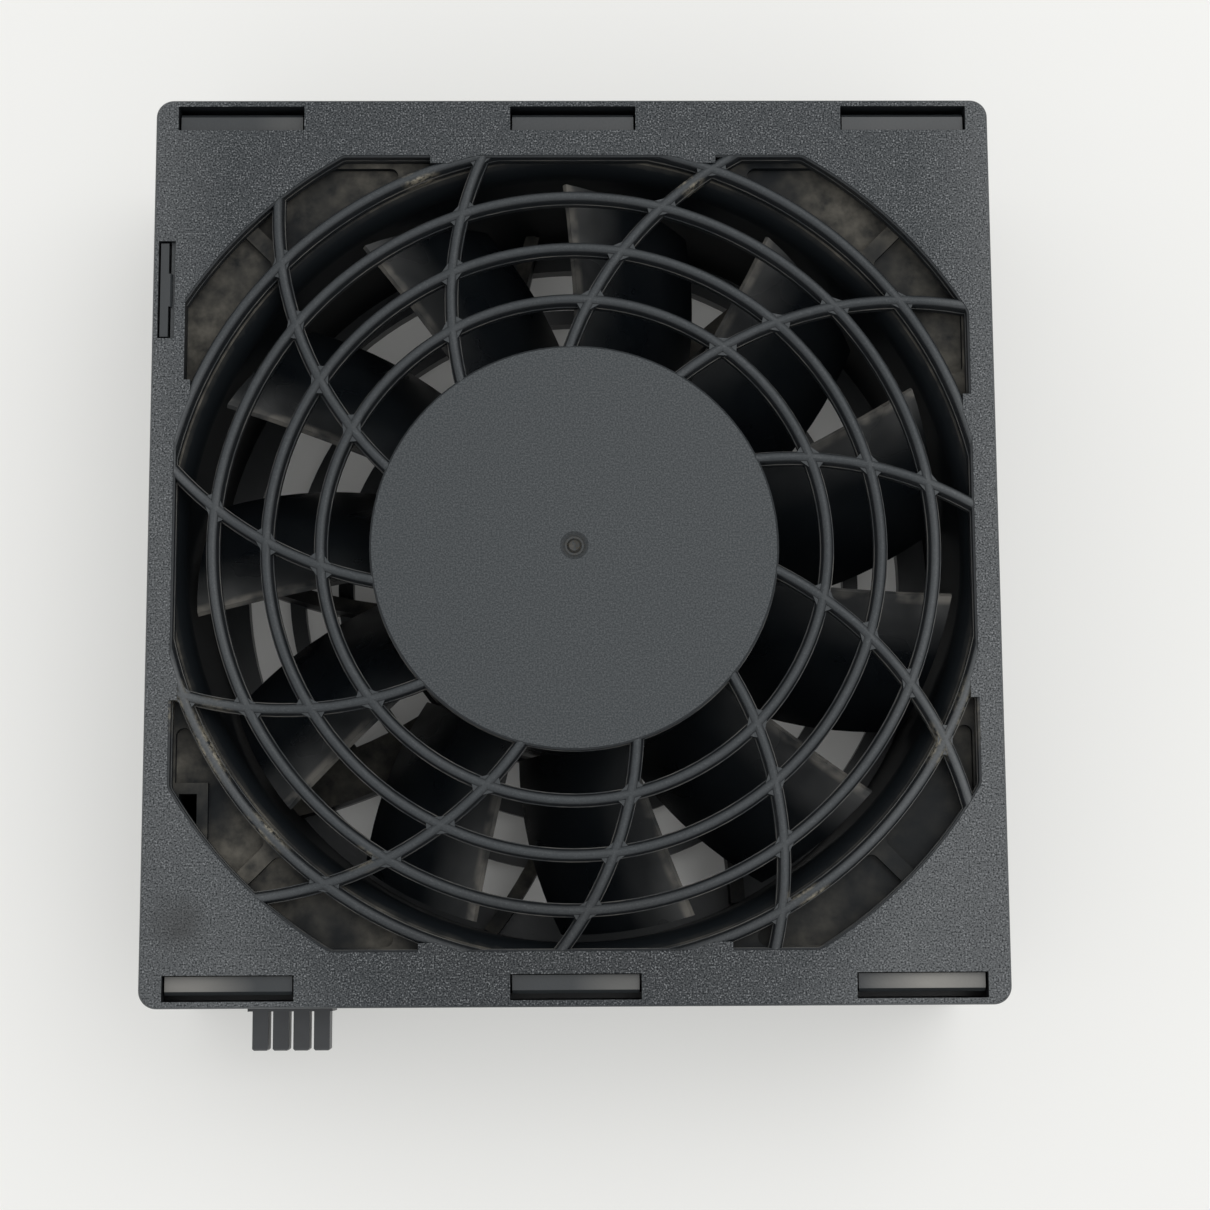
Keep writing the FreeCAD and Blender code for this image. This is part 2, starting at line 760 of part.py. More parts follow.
def lead_route(index):
    """From a pad under the board, along the strut, up the corner and forward to the plug."""
    offset = lead_offset(index)
    end, heading_out, centre, radius = on_strut(offset, strut_exit)
    begin, heading_in = on_strut(offset, strut_exit - strut_run)[:2]
    half = begin.sub(centre).getAngle(end.sub(centre)) / 2
    bisector = begin.add(end).multiply(0.5).sub(centre).normalize()
    bend = centre.add(bisector * (radius / math.cos(half)))
    pad_corner = begin.sub(heading_in * pad_bend)
    pad = V(pad_corner.x, pad_corner.y, board_height)
    foot = end.add(heading_out * (rise_bend + lead_step * index))
    head = V(foot.x, foot.y, plug_height)
    across = plug_middle - lead_offset(index) / lead_pitch * plug_pitch
    back = V(across, plug_back + contact_tail, plug_height)
    turn = back.add(V(0, plug_lead_in, 0))
    return [pad, pad_corner, bend, foot, head, turn, back], [pad_bend, radius, rise_bend,
                                                            rise_bend, side_bend]


def lead_wire(index):
    points, radii = lead_route(index)
    path = route_wire(points, radii)
    ring = Part.Wire(Part.makeCircle(lead_radius, points[0], V(0, 0, -1)))
    return path.makePipe(Part.Face(ring))


def lead_passage():
    """Hole in the rear flange where the leads turn up into the corner."""
    feet = [lead_route(index)[0][3] for index in range(lead_count)]
    feet += [on_strut(lead_offset(index), strut_exit)[0] for index in range(lead_count)]
    room = lead_radius + channel_clearance + 0.3
    xs = [foot.x for foot in feet]
    ys = [foot.y for foot in feet]
    hole = rounded_block(min(xs) - room, max(xs) + room, min(ys) - room, max(ys) + room,
                         rear_wall - 1, rear_wall + flange + 1, room / 2)
    return hole.cut(cylinder(barrel_radius, rear_wall - 2, rear_wall + flange + 2))


def lead_channel():
    """Room for the leads in the wide strut: open to the rear."""
    width = lead_count * lead_pitch + 2 * channel_clearance
    stations = (-strut_run, (strut_exit + 1.0 - strut_run) / 2, strut_exit + 1.0)
    points = [on_strut(0.0, station)[0] for station in stations]
    flat = [V(point.x, point.y, 0) for point in points]
    top = lead_height + lead_radius + channel_clearance
    return plain_arc(Part.Arc(*flat).toShape(), width, rear_wall - 1, top)


def motor_base():
    rim = tube(base_radius, base_radius - base_rim_wall, rear_wall, rim_top)
    floor = cylinder(base_radius - base_rim_wall / 2, rear_wall, floor_top)
    boss = cylinder(tube_radius + seam_gap / 2 + boss_wall, rear_wall, floor_top + boss_height)
    parts = [rim, floor, boss]
    reach = board_radius - board_post_inset
    for angle in (0, 90, 300):
        post = polar(reach, angle)
        parts.append(cylinder(board_post_radius, rear_wall, board_height, post.x, post.y))
    return parts


def struts():
    curve = strut_curve()
    top = rear_wall + strut_height
    parts = round_pattern(plain_arc(curve, strut_width, rear_wall, top), strut_count)[1:]
    parts.append(plain_arc(curve, lead_strut_width, rear_wall, top))
    return parts


def corner_webs():
    """Diagonal webs between the two flanges, left out of the corner that the leads use."""
    web = block(barrel_radius - 0.5, fan_hole_half * math.sqrt(2) + 1.0, -corner_rib / 2,
                corner_rib / 2, rear_wall, fan_top)
    webs = []
    for angle in (45, 135, 315):
        copy = web.copy()
        copy.rotate(V(0, 0, 0), AXIS, angle)
        webs.append(copy)
    return webs


def front_pockets():
    pockets = []
    window = block(cable_hole_x - cable_hole_width / 2, cable_hole_x + cable_hole_width / 2,
                   cable_hole_y - cable_hole_length / 2, cable_hole_y + cable_hole_length / 2,
                   fan_top - flange - 1, fan_top + 1)
    frame = block(-fan_half, cable_hole_x + cable_hole_width / 2 + cable_hole_rim,
                  cable_hole_y - cable_hole_length / 2 - cable_hole_rim,
                  cable_hole_y + cable_hole_length / 2 + cable_hole_rim,
                  fan_top - flange - 2, fan_top + 2)
    for quarter in range(4):
        for pocket in corner_pockets():
            pocket.rotate(V(0, 0, 0), AXIS, 90 * quarter)
            if quarter == 2:
                pocket = pocket.cut(frame)
            pockets.append(pocket)
    return pockets + [window]


def fan_frame():
    barrel = cylinder(barrel_radius, rear_wall, fan_top)
    rear = fan_square(rear_wall, rear_wall + flange)
    front = fan_square(fan_top - flange, fan_top)
    shell = join([barrel, rear, front] + corner_webs())
    bore = cylinder(bore_radius, rear_wall - 1, fan_top + 1)
    half = fan_hole_half
    holes = [cylinder(fan_hole_radius, rear_wall - 1, fan_top + 1, x, y)
             for x in (-half, half) for y in (-half, half)]
    shell = shell.cut([bore, mouth_cutter()] + holes + front_pockets())
    tube_hole = cylinder(tube_radius + seam_gap / 2, floor_top, rim_top + 1)
    frame = join([shell] + struts() + motor_base())
    return frame.cut([tube_hole, lead_channel(), lead_passage()])


# ---- impeller -----------------------------------------------------------------------------------
def blade_section(radius):
    """Flat section of one blade, square to the radius that the blade is stacked on."""
    share = (radius - hub_radius) / (tip_radius - hub_radius)
    span = blade_sweep_root + (blade_sweep_tip - blade_sweep_root) * share
    lead = blade_skew * (share - 1)
    depth = blade_depth_root + (blade_depth_tip - blade_depth_root) * share
    thickness = blade_thickness_root + (blade_thickness_tip - blade_thickness_root) * share
    front = []
    back = []
    for station in range(blade_stations + 1):
        t = station / blade_stations
        swing = lead - span * (t + blade_bow * t * (1 - t)) - blade_stack
        slope = math.atan2(span * math.radians(radius) * (1 + blade_bow * (1 - 2 * t)), depth)
        across = radius * math.tan(math.radians(swing))
        height = blade_lead_height - depth * t
        half = blade_edge / 2 + (thickness - blade_edge) / 2 * math.sin(math.pi * (t * 0.9 + 0.05))
        side = V(0, half * math.cos(slope), -half * math.sin(slope))
        middle = V(radius, across, height)
        front.append(middle + side)
        back.append(middle - side)
    edges = []
    for side in (front, list(reversed(back))):
        curve = Part.BSplineCurve()
        curve.interpolate(side)
        edges.append(curve.toShape())
    nose = Part.makeLine(back[0], front[0])
    tail = Part.makeLine(front[-1], back[-1])
    return Part.Wire([edges[0], tail, edges[1], nose])


def blade():
    sections = [hub_radius - hub_wall / 2, 0.5 * (hub_radius + tip_radius), tip_radius + 2.0]
    body = Part.makeLoft([blade_section(radius) for radius in sections], True, False)
    envelope = tube(tip_radius, hub_radius - hub_wall / 2, hub_bottom - 1, fan_top + 1)
    body = body.common(envelope)
    body.rotate(V(0, 0, 0), AXIS, spoke_phase + blade_stack)
    return body


def impeller():
    under = hub_top - hub_wall
    boss = bush_radius + seam_gap / 2
    bore_top = bush_top + seam_gap / 2
    shell = revolve_outline([(0, hub_top), (hub_radius - hub_round, hub_top),
                             (hub_radius - hub_round * 0.3, hub_top - hub_round * 0.3),
                             (hub_radius, hub_top - hub_round), (hub_radius, hub_bottom),
                             (hub_inner, hub_bottom), (hub_inner, under), (boss, under),
                             (boss, bore_top), (0, bore_top)])
    return shell.multiFuse(round_pattern(blade(), blade_count))


# ---- rotor --------------------------------------------------------------------------------------
def rotor_yoke():
    top = yoke_top
    inner = yoke_radius - yoke_wall
    hole = bush_radius + seam_gap / 2
    rim = hub_bottom + yoke_setback
    return revolve_outline([(hole, top), (yoke_radius, top), (yoke_radius, rim), (inner, rim),
                            (inner, top - yoke_wall), (hole, top - yoke_wall)])


def magnet_ring():
    return tube(magnet_outer, magnet_inner, magnet_bottom, magnet_top)


def shaft_bushing():
    return tube(bush_radius, shaft_radius + seam_gap / 4, bush_bottom, bush_top)


def shaft():
    bottom = clip_top - clip_thickness - shaft_overhang
    rod = cylinder(shaft_radius, bottom, bush_top - 0.4)
    bevel = [edge for edge in rod.Edges if edge.CenterOfMass.z < bottom + 0.1]
    rod = rod.makeChamfer(shaft_bevel, bevel)
    groove = tube(shaft_radius + 1, shaft_radius - clip_groove,
                  clip_top - clip_thickness - clip_fit, clip_top + clip_fit)
    return rod.cut(groove)


def preload_washer():
    """Dished spring washer between the bushing and the front bearing's inner race."""
    inner = shaft_radius + 0.15
    outer = bush_radius - 0.4
    race = inner + race_wall * 0.6
    low = front_bearing_height + washer_fit
    high = bush_bottom - washer_fit
    t = washer_thickness
    return revolve_outline([(inner, low), (race, low), (outer, high - t), (outer, high),
                            (outer - 0.5, high), (inner, low + t)])


def retaining_clip():
    ring = tube(clip_radius, shaft_radius - clip_groove + clip_fit, clip_top - clip_thickness,
                clip_top)
    mouth = block(0, clip_radius + 1, -shaft_radius * 0.8, shaft_radius * 0.8,
                  clip_top - clip_thickness - 1, clip_top + 1)
    return ring.cut(mouth)


# ---- bearings -----------------------------------------------------------------------------------
def ball_track(middle):
    return Part.makeTorus(ball_circle, ball_radius + ball_clearance, V(0, 0, middle))


def inner_race(top):
    ring = tube(shaft_radius + race_wall, shaft_radius + seam_gap / 4, top - bearing_width, top)
    return ring.cut(ball_track(top - bearing_width / 2))


def outer_race(top):
    ring = tube(bearing_radius - seam_gap / 4, bearing_radius - race_wall, top - bearing_width, top)
    return ring.cut(ball_track(top - bearing_width / 2))


def bearing_balls(top):
    balls = []
    for index in range(ball_count):
        middle = polar(ball_circle, 360.0 * index / ball_count, top - bearing_width / 2)
        balls.append(Part.makeSphere(ball_radius, middle))
    return Part.makeCompound(balls)


def bearing_tube():
    seat = bearing_radius
    neck = bearing_radius - tube_shoulder
    upper = front_bearing_height - bearing_width
    return revolve_outline([(seat, floor_top), (tube_radius, floor_top),
                            (tube_radius, front_bearing_height), (seat, front_bearing_height),
                            (seat, upper), (neck, upper), (neck, rear_bearing_height),
                            (seat, rear_bearing_height)])


# ---- stator and board ---------------------------------------------------------------------------
def tooth(radius, width, z0, z1):
    return block(0, radius, -width / 2, width / 2, z0, z1)


def stator_core():
    hub = cylinder(core_bore + core_hub_wall, core_bottom, core_top)
    shoes = tube(core_radius, core_radius - pole_shoe, core_bottom, core_top)
    reach = core_radius + 1
    half = pole_shoe_angle / 2
    corners = [V(0, 0, core_bottom), polar(reach * 1.2, -half, core_bottom),
               polar(reach * 1.2, half, core_bottom)]
    wedge = extrude_outline(corners, V(0, 0, core_top - core_bottom))
    shoe = shoes.common(wedge)
    parts = [hub]
    parts += round_pattern(shoe, pole_count)
    parts += round_pattern(tooth(core_radius - pole_shoe / 2, tooth_width, core_bottom, core_top),
                           pole_count)
    return join(parts).cut(cylinder(core_bore, core_bottom - 1, core_top + 1))


def stator_insulator(z0, z1, out):
    """End cap of the stator: a hub, an arm over each tooth and an upright lip behind each shoe."""
    hub = cylinder(core_bore + core_hub_wall, z0, z1)
    arms = round_pattern(tooth(core_radius - pole_shoe, tooth_width + 0.6, z0, z1), pole_count)
    low = min(z0, z0 + out)
    high = max(z1, z1 + out)
    lip = block(core_radius - pole_shoe - 1.0, core_radius - pole_shoe, -tooth_width, tooth_width,
                low, high)
    lips = round_pattern(lip, pole_count)
    collar = cylinder(core_bore + insulator_collar, low, high)
    return join([hub, collar] + arms + lips).cut(cylinder(core_bore, low - 1, high + 1))


def stator_coils():
    """One closed winding round each tooth, between the core's hub and its pole shoe."""
    inner = core_bore + core_hub_wall + 0.4
    outer = core_radius - pole_shoe - 1.3
    low = core_bottom - insulator_flange - coil_gap
    high = core_top + insulator_flange + coil_gap
    half = tooth_width / 2 + 0.5
    wrap = rounded_block(-half - coil_depth * 0.8, half + coil_depth * 0.8, low - coil_depth * 0.55,
                         high + coil_depth * 0.55, inner, outer, coil_round)
    wrap = wrap.cut(block(-half, half, low, high, inner - 1, outer + 1))
    wrap.rotate(V(0, 0, 0), V(1, 0, 0), 90)
    wrap.rotate(V(0, 0, 0), AXIS, 90)
    return Part.makeCompound(round_pattern(wrap, pole_count))


def motor_circuit_board():
    hole = tube_radius + boss_wall + board_clearance
    return tube(board_radius, hole, board_height, board_height + board_thickness)


def board_components():
    """Driver chip and two capacitors under the board, hall sensor above it by the magnet."""
    top = board_height + board_thickness
    low = board_height - chip_height
    half = hall_size / 2
    far = magnet_inner - hall_gap
    sensor = block(far - hall_size, far, -half, half, top, top + hall_height)
    sensor.rotate(V(0, 0, 0), AXIS, 30)
    middle = (board_radius + tube_radius + boss_wall + board_clearance) / 2
    half = chip_width / 2
    chip = block(-half, half, middle - chip_length / 2, middle + chip_length / 2, low, board_height)
    chip.rotate(V(0, 0, 0), AXIS, 60)
    parts = [sensor, chip]
    for index in range(2):
        y = -middle / 2 + capacitor_pitch * index
        parts.append(block(middle - capacitor_length / 2, middle + capacitor_length / 2,
                           y - capacitor_width / 2, y + capacitor_width / 2, low, board_height))
    return Part.makeCompound(parts)


# ---- plug ---------------------------------------------------------------------------------------
def finger_middle(index):
    return plug_middle + (index - (lead_count - 1) / 2) * plug_pitch


def contact_cavity(index, grow):
    x = finger_middle(index)
    half = contact_width / 2 + grow
    rise = contact_height / 2 + grow
    return block(x - half, x + half, -bottom_reach - finger_reach - 1, plug_back + 1,
                 plug_height - rise, plug_height + rise)


def plug_finger(index):
    x = finger_middle(index)
    half = finger_width / 2
    end = -bottom_reach - finger_reach
    rise = finger_height / 2
    finger = block(x - half, x + half, end, plug_face + 0.5, plug_height - rise, plug_height + rise)
    tip = [edge for edge in finger.Edges if abs(edge.CenterOfMass.y - end) < 1e-6]
    return finger.makeChamfer(finger_chamfer, tip)


def connector_housing():
    half = plug_body_width / 2
    rise = plug_body_height / 2
    body = block(plug_middle - half, plug_middle + half, plug_face + 0.2, plug_back,
                 plug_height - rise, plug_height + rise)
    half = plug_flange_width / 2
    rise = plug_flange_height / 2
    collar = block(plug_middle - half, plug_middle + half, plug_face, -bottom_reach,
                   plug_height - rise, plug_height + rise)
    inside = -bottom_reach + wall + seam_gap
    barbs = []
    for side in (-1, 1):
        x = plug_middle + side * plug_body_width / 2
        low = plug_height - barb_height / 2
        outline = [V(x - side * barb_root, inside, low), V(x + side * barb_reach, inside, low),
                   V(x - side * barb_root, inside + barb_length, low)]
        barbs.append(extrude_outline(outline, V(0, 0, barb_height)))
    fingers = [plug_finger(index) for index in range(lead_count)]
    cavities = [contact_cavity(index, contact_fit) for index in range(lead_count)]
    return join([body, collar] + barbs + fingers).cut(cavities)


def connector_contacts():
    """Box contacts, open at the mating end, each crimped behind on the end of its lead."""
    contacts = []
    mouth = -bottom_reach - finger_reach + contact_setback
    box_end = plug_face + 1.0
    for index in range(lead_count):
        x = finger_middle(index)
        half = contact_width / 2
        rise = contact_height / 2
        outer = block(x - half, x + half, mouth, box_end, plug_height - rise, plug_height + rise)
        inner = block(x - half + contact_wall, x + half - contact_wall, mouth - 1,
                      box_end - contact_wall, plug_height - rise + contact_wall,
                      plug_height + rise - contact_wall)
        crimp = Part.makeCylinder(contact_width / 2, plug_back + contact_tail - box_end + 0.1,
                                  V(x, box_end - 0.1, plug_height), V(0, 1, 0))
        contacts.append(outer.cut(inner).fuse(crimp))
    return Part.makeCompound(contacts)


# ---- write every piece ----------------------------------------------------------------------------
def build_all():
    parts = {
        "front_bezel": front_bezel(),
        "rear_housing": rear_housing(),
        "fan_frame": fan_frame(),
        "impeller": impeller(),
        "rotor_yoke": rotor_yoke(),
        "magnet_ring": magnet_ring(),
        "shaft_bushing": shaft_bushing(),
        "shaft": shaft(),
        "preload_washer": preload_washer(),
        "retaining_clip": retaining_clip(),
        "front_bearing_inner_race": inner_race(front_bearing_height),
        "front_bearing_outer_race": outer_race(front_bearing_height),
        "front_bearing_balls": bearing_balls(front_bearing_height),
        "rear_bearing_inner_race": inner_race(rear_bearing_height),
        "rear_bearing_outer_race": outer_race(rear_bearing_height),
        "rear_bearing_balls": bearing_balls(rear_bearing_height),
        "bearing_tube": bearing_tube(),
        "stator_core": stator_core(),
        "front_insulator": stator_insulator(core_top, core_top + insulator_flange,
                                            coil_depth * 0.6),
        "rear_insulator": stator_insulator(core_bottom - insulator_flange, core_bottom,
                                           -coil_depth * 0.6),
        "stator_coils": stator_coils(),
        "motor_circuit_board": motor_circuit_board(),
        "board_components": board_components(),
        "connector_housing": connector_housing(),
        "connector_contacts": connector_contacts(),
    }
    for index in range(lead_count):
        parts["lead_wire_%d" % (index + 1)] = lead_wire(index)
    return parts


def main():
    os.makedirs("parts", exist_ok=True)
    for name, shape in build_all().items():
        shape.exportStep(os.path.join("parts", name + ".step"))
        print(name, "solids", len(shape.Solids), "volume", round(shape.Volume, 1))


main()
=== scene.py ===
"""Looks of the server fan module: finishes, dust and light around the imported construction."""
import json
import math

import bpy
from mathutils import Euler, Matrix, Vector


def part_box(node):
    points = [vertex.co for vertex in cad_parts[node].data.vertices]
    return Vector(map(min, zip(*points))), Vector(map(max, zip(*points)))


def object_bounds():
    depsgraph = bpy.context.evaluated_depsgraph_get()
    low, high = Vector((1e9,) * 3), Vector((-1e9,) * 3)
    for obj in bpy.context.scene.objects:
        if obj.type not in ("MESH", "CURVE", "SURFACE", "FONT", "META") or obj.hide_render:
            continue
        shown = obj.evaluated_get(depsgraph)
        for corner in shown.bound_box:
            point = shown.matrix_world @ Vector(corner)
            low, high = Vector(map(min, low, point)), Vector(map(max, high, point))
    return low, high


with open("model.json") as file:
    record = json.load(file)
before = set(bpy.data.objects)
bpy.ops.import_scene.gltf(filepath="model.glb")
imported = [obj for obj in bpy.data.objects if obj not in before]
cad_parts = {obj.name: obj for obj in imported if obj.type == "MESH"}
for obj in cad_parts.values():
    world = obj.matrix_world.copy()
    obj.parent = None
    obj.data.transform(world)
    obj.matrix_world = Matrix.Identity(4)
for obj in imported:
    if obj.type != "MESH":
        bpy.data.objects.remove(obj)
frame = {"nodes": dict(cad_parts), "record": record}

CAD_LOW, CAD_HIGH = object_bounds()

MM = 0.001
FACE_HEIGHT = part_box("front_bezel")[1].z
PARTING_DEPTH = 1.7 * MM                      # step in the walls of the grille below the face
TIP_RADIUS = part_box("impeller")[1].x / MM
LEADING_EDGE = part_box("fan_frame")[1].z - 2.6 * MM

# ---- camera ---------------------------------------------------------------------------------------
LENS = 71.4                                   # mm
SENSOR_WIDTH = 36.0                           # mm
CAMERA_PLACE = Vector((-0.3, -57.7, 390.4)) * MM
CAMERA_TURN = (8.03, -0.74, -0.31)            # degrees about X, Y and Z, from straight down

# ---- light and table ------------------------------------------------------------------------------
WORLD_LIGHT = 0.83
WINDOW_PLACE = (0.5, 0.4, 1.2)                # metres
WINDOW_SIZE = (1.0, 0.9)                      # metres
WINDOW_POWER = 4.8                            # watts
TABLE_HALF = 3.0                              # metres from the middle to a side
TABLE_GLOW = 0.36             # share of the table's brightness that the object can't shade
PAINTED_SHADOW_GLOW = 0.07            # the same inside a painted shadow where the table is seen through the fan
PAINTED_SHADOW_RADIUS = 58.0          # mm, radius of that painted shadow round the fan axis

# ---- finish of the bezel ---------------------------------------------------------------------------
GRAIN_SIZE = 0.25             # mm
GRAIN_DEPTH = 0.09            # mm
DISC_RADIUS = 30.6            # mm, with the edge of the disc

# ---- shading of CAD pieces -------------------------------------------------------------------------
SHARP_EDGE = 35.0             # degrees between faces; a smaller turn is shaded smooth
WELD_GAP = 0.001 * MM

# ---- colours, linear -------------------------------------------------------------------------------
BEZEL_GREY = (0.0215, 0.027, 0.031, 1)
BEZEL_PAINTED_SHEEN = (0.076, 0.082, 0.086, 1)        # painted sheen towards the sides, a lighter grey in place of a window's reflection
BEZEL_PAINTED_GLINT = (0.22, 0.23, 0.24, 1)           # painted glints on the tips of the grain
BEZEL_PIT = (0.01, 0.012, 0.0135, 1)          # between the grain's tips
WALL_PAINTED_SHADE = (0.0085, 0.0105, 0.0125, 1)      # painted shade on the smooth walls of the openings
# painted highlight on the ledge at the parting plane
LEDGE_PAINTED_HIGHLIGHT = (0.15, 0.142, 0.125, 1)
GATE_BROWN = (0.03, 0.026, 0.018, 1)
DISC_GREY = (0.043, 0.05, 0.0545, 1)
DISC_SHADE = (0.019, 0.025, 0.029, 1)
SMUDGE_GREY = (0.034, 0.036, 0.037, 1)
HOUSING_GREY = (0.026, 0.0295, 0.032, 1)
FRAME_BLACK = (0.0065, 0.0084, 0.0102, 1)
IMPELLER_BLACK = (0.0062, 0.0082, 0.0104, 1)
FILM_GREY = (0.043, 0.047, 0.049, 1)
DUST_BROWN = (0.13, 0.122, 0.104, 1)
DUST_PALE = (0.34, 0.31, 0.24, 1)
# painted reflection on the hooks
HOOK_PAINTED_REFLECTION = (0.3, 0.29, 0.265, 1)
# wear and painted highlight on the blades' front band
WEAR_AND_HIGHLIGHT_GREY = (0.074, 0.076, 0.076, 1)
# painted highlight along the blades' leading edge
EDGE_PAINTED_HIGHLIGHT = (0.2, 0.19, 0.17, 1)
LAMINATION_DARK = (0.12, 0.12, 0.125, 1)
LAMINATION_LIGHT = (0.26, 0.26, 0.27, 1)
COPPER_DARK = (0.3, 0.09, 0.03, 1)
COPPER_LIGHT = (0.56, 0.22, 0.08, 1)
MASK_GREEN = (0.01, 0.075, 0.03, 1)
TRACK_GREEN = (0.03, 0.16, 0.06, 1)
TABLE_DARK = (0.88, 0.88, 0.86, 1)
TABLE_LIGHT = (0.92, 0.92, 0.9, 1)
TABLE_SHINE = (0.88, 0.88, 0.855, 1)

# ---- patches on the face: x, y, half width and half height, in mm from the fan axis -----------------
SHEEN_FREE_PATCH = (0.0, 42.0, 62.5, 160.0)        # free of the painted sheen
# painted sheen in the lower right corner
SHEEN_CORNER = (62.0, -60.0, 55.0, 55.0)
# darker towards the bottom middle of the face
DARKER_BELOW_PATCH = (-2.0, -57.0, 46.0, 13.0)
SMUDGE_PATCH = (-57.0, -54.5, 5.2, 5.2)
GATE_PATCH = (0.0, 0.0, 2.0, 2.0)
DISC_PATCH = (0.0, 0.0, DISC_RADIUS, DISC_RADIUS)

# ---- dust that has caught on the bezel, as patches ---------------------------------------------------
DUST_PATCHES = [
    (-57.6, -23.5, 2.0, 4.5),
    (-52.5, -29.0, 4.5, 8.0),
    (-43.0, -41.0, 6.0, 4.0),
    (-31.0, -45.5, 3.5, 2.2),
    (57.0, -26.0, 2.2, 7.0),
    (52.5, -29.5, 2.5, 4.0),
    (17.6, 54.8, 2.6, 2.0),
    (35.0, -51.0, 6.0, 2.0),
    (-22.5, 55.5, 4.0, 1.8),
]

# ---- hooks with a painted reflection: a patch, and how much ------------------------------------------
HOOK_PATCHES = [
    ((52.0, -63.5, 12.0, 3.0), 0.85),
    ((-56.0, -63.5, 11.0, 3.0), 0.6),
    ((7.0, -63.5, 8.0, 3.0), 0.35),
    ((-43.0, 64.5, 5.0, 3.0), 0.12),
]

# ---- bare metals: colour, roughness, and width of the turning marks in mm ----------------------------
METALS = {
    "yoke_steel": ((0.5, 0.5, 0.49, 1), 0.38, 0.6),
    "brass": ((0.72, 0.5, 0.2, 1), 0.25, 0.35),
    "bearing_steel": ((0.62, 0.62, 0.63, 1), 0.16, 0.2),
    "spring_steel": ((0.3, 0.31, 0.34, 1), 0.3, 0.2),
    "contact_metal": ((0.75, 0.62, 0.35, 1), 0.22, 0.3),
}

# ---- plain plastics and the magnet: colour, roughness, and size and depth of the grain in mm ---------
PLASTICS = {
    "magnet": ((0.02, 0.017, 0.015, 1), 0.65, 0.3, 0.02),
    "insulator_plastic": ((0.66, 0.64, 0.56, 1), 0.5, 0.5, 0.01),
    "chip_plastic": ((0.015, 0.015, 0.015, 1), 0.6, 0.2, 0.015),
    "connector_plastic": ((0.045, 0.048, 0.052, 1), 0.42, 0.5, 0.01),
    "lead_black": ((0.012, 0.012, 0.012, 1), 0.45, 0.5, 0.01),
    "lead_red": ((0.42, 0.012, 0.01, 1), 0.45, 0.5, 0.01),
    "lead_yellow": ((0.62, 0.4, 0.02, 1), 0.45, 0.5, 0.01),
    "lead_blue": ((0.012, 0.06, 0.3, 1), 0.45, 0.5, 0.01),
}


